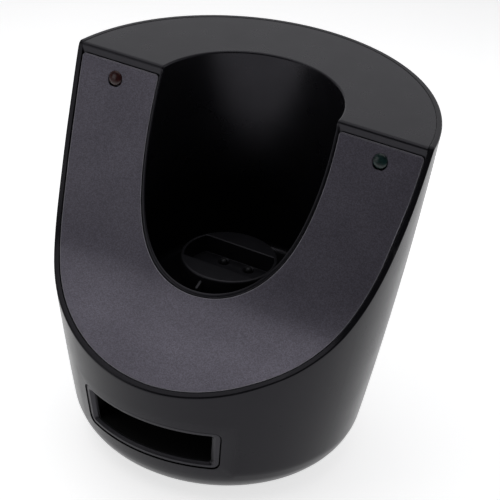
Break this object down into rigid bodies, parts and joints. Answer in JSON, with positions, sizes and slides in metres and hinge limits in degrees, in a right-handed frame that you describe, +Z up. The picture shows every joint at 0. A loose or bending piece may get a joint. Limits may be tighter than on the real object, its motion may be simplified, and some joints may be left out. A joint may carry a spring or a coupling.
{
  "type": "cordless phone charging base",
  "caption": "Black desktop charging cradle for a cordless handset: oval drum, sloping charcoal face, deep pocket with sprung contacts, indicator lamps and a front slot.",
  "frame": {"origin": "centre of the bounding box at table level, under the rubber feet", "axes": "+Z up, -Y towards the user on the side of the sloping face and front slot, +X to the user's right, the side of the green lamp"},
  "size_m": [0.1188, 0.106, 0.1098],
  "materials": {
    "shell_black": "satin moulded black with fine grain",
    "deck_grey": "fine matt moulded dark grey",
    "face_charcoal": "metallic charcoal lacquer, satin",
    "carrier_black": "satin moulded black",
    "bezel_black": "satin black",
    "liner_black": "matt black",
    "base_black": "spark-eroded matt black",
    "lens_red": "clear tinted lens",
    "lens_green": "clear tinted lens",
    "holder_black": "matt",
    "circuit_board": "solder-masked laminate",
    "contact_nickel": "nickel plated",
    "barrel_brass": "turned",
    "spring_steel": "drawn wire",
    "screw_steel": "zinc plated",
    "jack_black": "moulded",
    "chip_black": "moulded epoxy",
    "capacitor_sleeve": "shrunk sleeve",
    "ferrite": "sintered",
    "header_white": "moulded nylon",
    "lead_red": "insulated wire",
    "lead_black": "insulated wire",
    "lead_green": "insulated wire",
    "foot_rubber": "matt"
  },
  "bodies": {
    "housing": {"outer_shell": "shell_black", "cradle_insert": "deck_grey", "face_panel": "face_charcoal", "contact_carrier": "carrier_black", "slot_bezel": "bezel_black", "slot_liner": "liner_black", "base_plate": "base_black", "led_red": "lens_red", "led_green": "lens_green", "led_holder_red": "holder_black", "led_holder_green": "holder_black", "led_board_red": "circuit_board", "led_board_green": "circuit_board", "contact_board": "circuit_board", "main_board": "circuit_board", "contact_barrel_left": "barrel_brass", "contact_barrel_right": "barrel_brass", "contact_spring_left": "spring_steel", "contact_spring_right": "spring_steel", "carrier_screw_left": "screw_steel", "carrier_screw_right": "screw_steel", "dc_jack": "jack_black", "dc_pin": "contact_nickel", "charge_chip": "chip_black", "capacitor_1": "capacitor_sleeve", "capacitor_2": "capacitor_sleeve", "inductor": "ferrite", "wire_header": "header_white", "contact_lead_red": "lead_red", "contact_lead_black": "lead_black", "led_lead_red": "lead_red", "led_lead_green": "lead_green", "foot_1": "foot_rubber", "base_screw_1": "screw_steel", "board_screw_1": "screw_steel", "foot_2": "foot_rubber", "base_screw_2": "screw_steel", "board_screw_2": "screw_steel", "foot_3": "foot_rubber", "base_screw_3": "screw_steel", "board_screw_3": "screw_steel", "foot_4": "foot_rubber", "base_screw_4": "screw_steel", "board_screw_4": "screw_steel"},
    "contact_left": {"contact_pin_left": "contact_nickel"},
    "contact_right": {"contact_pin_right": "contact_nickel"}
  },
  "joints": [
    {"name": "contact_left_press", "type": "slide", "parent": "housing", "child": "contact_left", "axis": [0, 0, -1], "range_m": [0, 0.0014], "stiffness_N_per_m": 400, "deforming": ["contact_spring_left"]},
    {"name": "contact_right_press", "type": "slide", "parent": "housing", "child": "contact_right", "axis": [0, 0, -1], "range_m": [0, 0.0014], "stiffness_N_per_m": 400, "deforming": ["contact_spring_right"]}
  ]
}
